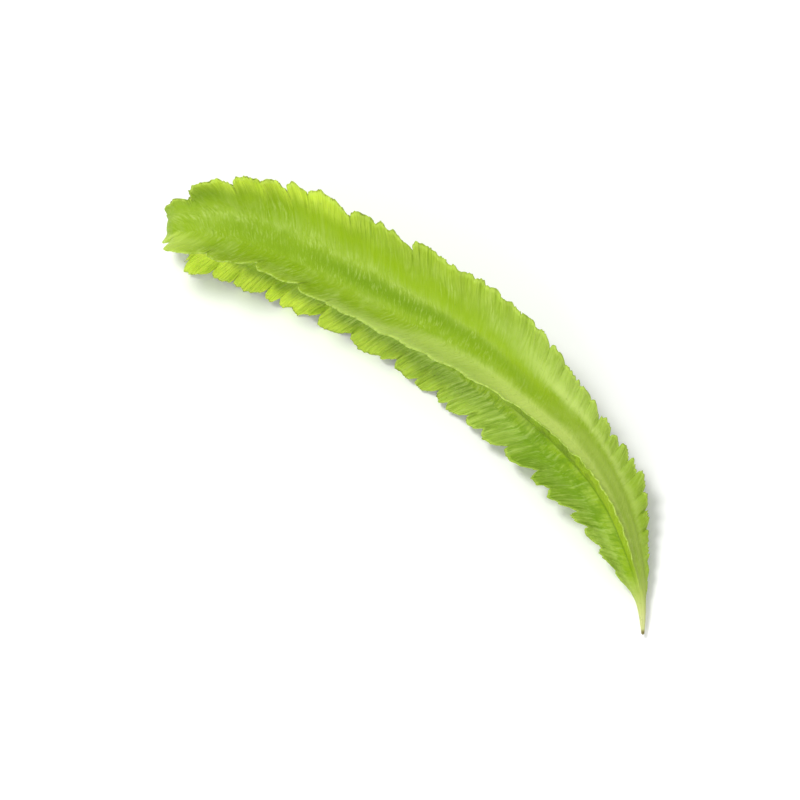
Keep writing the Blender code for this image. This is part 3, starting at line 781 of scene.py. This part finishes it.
    # fine lines near the margins, longer ones on the front-lower wing
    reach = m.math("MAXIMUM", outward, m.mul(third, on_wing))
    quiet = m.math("SUBTRACT", 1.0, m.mul(m.band(wing, 1.0, 0.5), 0.45))
    soft = m.curve(s, [(0, 0.90), (42, 0.85), (58, 0.50), (110, 0.50), (145, 0.45), (155, 0.32), (190, 0.30)])
    gentle = m.math("SUBTRACT", 1.0, m.mul(m.add(0.25, m.mul(third, 0.35)), m.step(62, 40, s)))
    soft = m.mul(soft, gentle)
    soft = m.mul(soft, m.math("SUBTRACT", 1.0, m.mul(m.band(s, 118.0, 26.0), m.mul(upper, 0.45))))
    soft = m.mul(soft, m.math("SUBTRACT", 1.0, m.mul(lower, m.curve(s, [(116, 0.0), (132, 0.35)]))))
    light_rib = m.mul(m.mul(m.mul(reach, soft), m.math("MAXIMUM", m.mul(thread, 0.7), m.mul(fibre, 0.9))), 0.50)
    colour = m.mix(m.mul(light_rib, quiet), colour, (0.440, 0.590, 0.110))
    soft = m.mul(soft, m.math("SUBTRACT", 1.0, m.mul(upper, m.curve(s, [(84, 0.0), (97, 0.65), (124, 0.65), (134, 0.0)]))))
    soft = m.mul(soft, m.math("SUBTRACT", 1.0, m.mul(lower, m.curve(s, [(118, 0.0), (134, 0.50)]))))
    furrow = m.mul(m.mul(m.mul(reach, soft), m.step(0.34, 0.06, m.mul(m.add(fibre, thread), 0.5))), m.mul(quiet, 0.45))
    colour = m.mix(furrow, colour, (0.165, 0.285, 0.010))

    # toward the stem end the wings' margins are lime; the brightest limes, on the back wing's rolled first lobes and on
    # the front-lower wing, are brightened further as painted light
    stem = m.curve(s, [(0, 0.0), (12, 0.10), (22, 0.90), (46, 1.00), (64, 0.60), (95, 0.34), (120, 0.05)])
    front = m.band(wing, 1.0, 0.5)
    stem = m.mul(stem, m.math("SUBTRACT", 1.0, m.mul(front, m.curve(s, [(10, 0.0), (20, 0.85)]))))
    stem = m.math("MAXIMUM", stem, m.mul(third, m.curve(s, [(0, 1.0), (36, 0.95), (54, 0.42), (72, 0.06), (90, 0.0)])))
    begin = m.math("SUBTRACT", 0.50, m.mul(third, m.curve(s, [(0, 0.75), (16, 0.75), (30, 0.20), (60, 0.18)])))
    limy = m.step(0.0, 0.45, m.math("SUBTRACT", m.add(h, m.mul(m.add(cloud, -0.5), 0.35)), begin))
    colour = m.mix(m.mul(m.mul(limy, stem), m.add(0.70, m.mul(thread, 0.28))), colour, m.mix(third, m.mix(m.curve(s, [(16, 0.0), (28, 1.0), (48, 1.0), (66, 0.0)]), lime, (0.600, 0.780, 0.060)), (0.680, 0.880, 0.075)))
    # painted shade in the hollow between the front and the front-lower wing near the stem
    basin_shade = m.mul(m.mul(m.band(wander, 2.88, 0.62), lower), m.curve(s, [(14, 0.0), (22, 0.75), (44, 0.60), (64, 0.0)]))
    colour = m.mix(basin_shade, colour, (0.165, 0.320, 0.003))
    lobe = m.mul(m.mul(m.step(1.35, 1.80, m.add(wander, m.mul(m.add(rib, -0.5), 0.16))), upper), m.curve(s, [(7, 0.70), (14, 0.62), (21, 0.0)]))
    colour = m.mix(m.mul(lobe, m.add(0.70, m.mul(thread, 0.30))), colour, (0.560, 0.730, 0.120))
    colour = m.mix(m.mul(m.mul(m.step(0.9, 0.4, pan), upper), m.curve(s, [(4, 0.6), (12, 0.5), (20, 0.0)])), colour, (0.215, 0.345, 0.020))
    # shaded hollow under the first lobes of the back wing
    hollow = m.mul(m.mul(m.band(wander, 0.22, 0.22), upper), m.curve(s, [(10, 0.0), (15, 0.40), (20, 0.40), (27, 0.0)]))
    colour = m.mix(hollow, colour, grass)
    # painted shade in the folds that run in from the deep notches
    colour = m.mix(m.mul(m.attr("crease_shade"), 0.70), colour, (0.110, 0.185, 0.008))
    # margins: a thin pale line on the front wing, a dry one in places on the others
    colour = m.mix(m.mul(m.mul(m.step(0.985, 0.999, h), front), m.mul(m.step(0.40, 0.58, m.noise(m.vec(m.mul(s, 0.5), 5.0), 1.0, 3.0, 0.6)), 0.6)), colour, (0.520, 0.670, 0.150))
    edge = m.mul(m.step(0.88, 0.96, h), m.math("SUBTRACT", 1.0, front))
    edge = m.mul(edge, m.math("SUBTRACT", 1.0, m.mul(third, m.curve(s, [(40, 0.0), (56, 0.75), (100, 0.70), (116, 0.15)]))))
    edge = m.mul(edge, m.add(0.35, m.mul(m.step(0.40, 0.56, m.noise(m.vec(m.mul(s, 0.35), wing, 2.0), 1.0, 3.0, 0.6)), 0.65)))
    colour = m.mix(m.mul(edge, m.curve(s, [(0, 0.55), (60, 0.50), (90, 0.50), (150, 0.55), (190, 0.4)])), colour, (0.520, 0.690, 0.110))
    dry = m.mul(m.mul(m.step(0.97, 0.995, h), m.math("SUBTRACT", 1.0, front)), m.step(0.42, 0.60, m.noise(m.vec(m.mul(s, 0.9), wing), 1.0, 3.0, 0.6)))
    colour = m.mix(m.mul(dry, m.curve(s, [(0, 0.80), (60, 0.70), (84, 0.30), (150, 0.28), (170, 0.65)])), colour, (0.150, 0.180, 0.015))

    # beak: paler, then dry and brown at its point
    colour = m.mix(m.mul(m.step(174, 188, s), 0.88), colour, m.mix(m.step(180, 190, s), (0.540, 0.610, 0.180), (0.640, 0.670, 0.290)))
    colour = m.mix(m.mul(m.step(LENGTH - 1.3, LENGTH - 0.2, s), 0.85), colour, (0.16, 0.12, 0.03))
    # neck
    colour = m.mix(m.mul(m.step(8, 1, s), 0.5), colour, (0.36, 0.48, 0.09))
    # faint specks
    speck = m.noise(pos, 900.0, 1.0, 0.5)
    colour = m.mix(m.mul(m.step(0.70, 0.78, speck), 0.25), colour, (0.18, 0.27, 0.02))
    m.link(colour, m.bsdf.inputs["Base Color"])

    m.link(m.add(0.44, m.mul(cloud, 0.20)), m.bsdf.inputs["Roughness"])
    m.bsdf.inputs["IOR"].default_value = 1.40
    m.bsdf.inputs["Specular IOR Level"].default_value = 0.13
    m.bsdf.inputs["Subsurface Weight"].default_value = 0.16
    m.bsdf.inputs["Subsurface Radius"].default_value = (0.75, 1.0, 0.18)
    m.bsdf.inputs["Subsurface Scale"].default_value = 0.0009

    fine = m.noise(pos, 620.0, 4.0, 0.65)
    relief = m.add(m.mul(m.add(m.mul(fibre, 0.7), m.mul(rib, 0.6)), m.add(0.3, m.mul(reach, 0.7))), m.mul(fleck, 0.9))
    relief = m.mul(relief, m.math("SUBTRACT", 1.0, m.mul(upper, m.curve(s, [(88, 0.0), (106, 0.50)]))))
    n = m.bump(relief, 0.00022, 0.85)
    n = m.bump(fine, 0.00016, 0.55, n)
    m.link(n, m.bsdf.inputs["Normal"])
    return m.mat


def calyx_material():
    m = Nodes("calyx_dry_fine")
    pos = m.put("ShaderNodeTexCoord").outputs["Object"]
    a = m.noise(pos, 420.0, 4.0, 0.65)
    b = m.noise(pos, 1500.0, 3.0, 0.6)
    colour = m.mix(m.step(0.35, 0.7, a), (0.018, 0.010, 0.007), (0.115, 0.042, 0.020))
    colour = m.mix(m.mul(m.step(0.6, 0.75, b), 0.5), colour, (0.26, 0.20, 0.06))
    m.link(colour, m.bsdf.inputs["Base Color"])
    m.link(m.add(0.6, m.mul(b, 0.3)), m.bsdf.inputs["Roughness"])
    m.link(m.bump(m.add(a, m.mul(b, 0.4)), 0.0003, 0.8), m.bsdf.inputs["Normal"])
    return m.mat


def stalk_material():
    m = Nodes("stalk_skin_fine")
    along_, around = m.attr("along"), m.attr("around")
    pos = m.put("ShaderNodeTexCoord").outputs["Object"]
    fibre = m.noise(m.vec(m.mul(along_, 0.35), m.mul(around, 9.0)), 1.0, 3.0, 0.6)
    blot = m.noise(pos, 260.0, 3.0, 0.55)
    colour = m.mix(m.step(0.3, 0.7, fibre), (0.175, 0.300, 0.030), (0.345, 0.480, 0.100))
    colour = m.mix(m.mul(m.step(0.55, 0.75, blot), 0.5), colour, (0.47, 0.54, 0.20))
    colour = m.mix(m.step(STALK_LENGTH - 0.25, STALK_LENGTH - 0.05, along_), colour, (0.55, 0.56, 0.30))
    colour = m.mix(m.mul(m.step(0.9, 0.1, along_), 0.7), colour, (0.12, 0.07, 0.02))
    m.link(colour, m.bsdf.inputs["Base Color"])
    m.link(m.add(0.42, m.mul(blot, 0.2)), m.bsdf.inputs["Roughness"])
    m.bsdf.inputs["Subsurface Weight"].default_value = 0.2
    m.bsdf.inputs["Subsurface Radius"].default_value = (0.7, 1.0, 0.2)
    m.bsdf.inputs["Subsurface Scale"].default_value = 0.001
    m.link(m.bump(m.add(fibre, m.mul(blot, 0.5)), 0.00018, 0.7), m.bsdf.inputs["Normal"])
    return m.mat


def floor_material():
    m = Nodes("floor_white")
    m.bsdf.inputs["Base Color"].default_value = (0.93, 0.935, 0.93, 1)
    m.bsdf.inputs["Roughness"].default_value = 0.55
    m.bsdf.inputs["Specular IOR Level"].default_value = 0.25
    return m.mat


# ------------------------------------------------------------------- build

line = Line()
LENGTH = line.length
coarse_s = stations(line, COARSE_STATIONS)
coarse_s[0], coarse_s[-1] = 0.0, line.length
coarse = rest(*section_grid(line, coarse_s, COARSE_FLANK))
box_low, box_high = [np.array(c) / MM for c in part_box("pod")]
SHIFT = box_low - coarse.reshape(-1, 3).min(0)
SHIFT[2] = 0.0

s = stations(line, STATIONS)
s[0], s[-1] = 0.0, line.length
grid, heights, kinds = fine_grid(line, s, FLANK)
grid = rest(grid, heights)
ends, tans = line.at(np.array([0.0, line.length]), [line.c, line.tan])
start = ends[0] - [0, 0, SINK] + SHIFT
end = ends[1] + tans[1] * 0.35 - [0, 0, SINK] + SHIFT
grid = grid + SHIFT
grid = np.clip(grid, box_low, box_high)
ring_panel = [2.0 * k + f for k, f in kinds] + [7.0]
pod = quad_mesh("pod_fine", grid, start, end, panel=ring_panel)
nr = grid.shape[1]
add_attribute(pod, "along", np.concatenate([np.repeat(s, nr), [0.0, line.length]]))
add_attribute(pod, "height", np.concatenate([heights.ravel(), [0.0, 0.0]]))
add_attribute(pod, "face", np.concatenate([np.tile([b for _, b in kinds], len(s)), [0.0, 0.0]]))
# painted shade in the folds at the deep notches, kept on the mesh for the skin's colour
notch_crease_shade = np.zeros_like(heights)
for i, (k, _) in enumerate(kinds):
    back, _, arch = lobe_fields(k, s)
    notch_crease_shade[:, i] = smooth(0.78, 0.98, arch) * smooth(0.5, 1.3, back) * smooth(0.55, 0.95, heights[:, i])
add_attribute(pod, "crease_shade", np.concatenate([notch_crease_shade.ravel(), [0.0, 0.0]]))
add_attribute(pod, "wing", np.concatenate([np.tile([float(a) for a, _ in kinds], len(s)), [0.0, 0.0]]))
pod.data.materials.append(skin_material())
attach(pod, "root")
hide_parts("pod")

# calyx: a dried, torn collar around the pod's neck
path = stalk_path(line)
path[:, 2] -= SINK
path = path + SHIFT
at, ca = along(path, GAP, GAP + CALYX_LENGTH, 26)
u = (ca - ca[0]) / CALYX_LENGTH
sides = 72
ang = np.linspace(0, 2 * math.pi, sides, endpoint=False)
rings = tube(at, np.ones(26), sides, (0, 0, 1))
rim = 1 - 0.16 * (0.5 + 0.5 * np.cos(5 * ang)) ** 1.5 - 0.05 * np.cos(11 * ang + 1.0)
for i in range(26):
    base = CALYX_RIM + (CALYX_BASE - CALYX_RIM) * u[i] ** 1.3
    wrinkle = 1 - 0.035 * (0.5 + 0.5 * np.sin(17 * ang + 3 * u[i])) - 0.03 * (0.5 + 0.5 * np.sin(29 * ang))
    torn = 1 + (rim - 1) * (1 - u[i]) ** 2
    fold = 1 - 0.06 * math.sin(math.pi * min(1, u[i] * 2.0)) ** 2
    r = base * wrinkle * torn * fold * 0.995
    rings[i] = at[i] + (rings[i] - at[i]) * r[:, None]
low, high = [np.array(c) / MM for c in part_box("calyx")]
calyx = quad_mesh("calyx_fine", np.clip(rings, low, high), at[0], at[-1])
calyx.data.materials.append(calyx_material())
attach(calyx, "root")
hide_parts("calyx")

# stalk: ribbed, swollen where it meets the calyx, cut square at its end
a0 = GAP + CALYX_LENGTH + GAP
at, sa = along(path, a0, a0 + STALK_LENGTH, 70)
v = (sa - sa[0]) / STALK_LENGTH
sides = 48
ang = np.linspace(0, 2 * math.pi, sides, endpoint=False)
rings = tube(at, np.ones(70), sides, (0, 0, 1))
for i in range(70):
    base = STALK_RADIUS + 0.65 * math.exp(-(v[i] / 0.16) ** 2) + 0.12 * float(smooth(0.85, 1.0, v[i]))
    ribs = 1 - 0.035 * (0.5 + 0.5 * np.sin(7 * ang + 0.8 * v[i])) - 0.015 * (0.5 + 0.5 * np.sin(13 * ang))
    knot = 1 - 0.05 * math.sin(math.pi * min(1.0, v[i] / 0.5)) ** 2
    edge = math.sqrt(max(0.0, 1 - max(0.0, (v[i] - 0.985) / 0.015) ** 2 * 0.3))
    rings[i] = at[i] + (rings[i] - at[i]) * (base * ribs * knot * edge * 0.995)[:, None]
low, high = [np.array(c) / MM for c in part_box("stalk")]
stalk = quad_mesh("stalk_fine", np.clip(rings, low, high), at[0], at[-1])
add_attribute(stalk, "along", np.concatenate([np.repeat(sa - sa[0], sides), [0.0, STALK_LENGTH]]))
add_attribute(stalk, "around", np.concatenate([np.tile(np.sin(ang * 2), 70), [0.0, 0.0]]))
stalk.data.materials.append(stalk_material())
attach(stalk, "root")
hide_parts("stalk")

# ------------------------------------------------------------------- studio

me = bpy.data.meshes.new("floor")
half = 3.0
me.from_pydata([(-half, -half, 0), (half, -half, 0), (half, half, 0), (-half, half, 0)], [], [(0, 1, 2, 3)])
floor = bpy.data.objects.new("floor", me)
bpy.context.scene.collection.objects.link(floor)
floor.location.z = -0.00002
me.materials.append(floor_material())

scene = bpy.context.scene
scene.view_settings.view_transform = "Standard"
scene.view_settings.look = "None"
scene.view_settings.exposure = 0.0
world = bpy.data.worlds.new("soft_white")
scene.world = world
world.use_nodes = True
bg = world.node_tree.nodes["Background"]
bg.inputs["Color"].default_value = (1.0, 1.0, 1.0, 1)
bg.inputs["Strength"].default_value = 0.68

AZ, EL = math.radians(42.865), math.radians(62.0)
back = Vector((math.sin(AZ) * math.cos(EL), -math.cos(AZ) * math.cos(EL), math.sin(EL)))
right = Vector((math.cos(AZ), math.sin(AZ), 0.0))
upv = back.cross(right)
target = Vector((SHIFT[0] * MM, SHIFT[1] * MM, 0.011))


def area_light(name, across, upward, toward, size, power, colour=(1, 1, 1)):
    """Soft light placed by how it lies round the object as the camera sees it."""
    data = bpy.data.lights.new(name, "AREA")
    data.shape = "DISK"
    data.size = size
    data.energy = power
    data.color = colour
    ob = bpy.data.objects.new(name, data)
    scene.collection.objects.link(ob)
    ob.location = target + right * across + upv * upward + back * toward
    ob.rotation_euler = (target - ob.location).to_track_quat("-Z", "Y").to_euler()
    return ob


area_light("key", -0.55, 0.70, 1.0, 0.45, 10.0, (1.0, 0.995, 0.98))
area_light("front", -0.30, -0.55, 1.0, 0.7, 4.5, (1.0, 1.0, 1.0))

cam_data = bpy.data.cameras.new("camera")
cam_data.sensor_width = 36.0
cam_data.lens = 900 * 3.72 * 36 / 800
cam_data.clip_start = 0.01
cam = bpy.data.objects.new("camera", cam_data)
scene.collection.objects.link(cam)
cam.location = target + back * 0.9
cam.rotation_euler = (target - cam.location).to_track_quat("-Z", "Y").to_euler()
scene.camera = cam
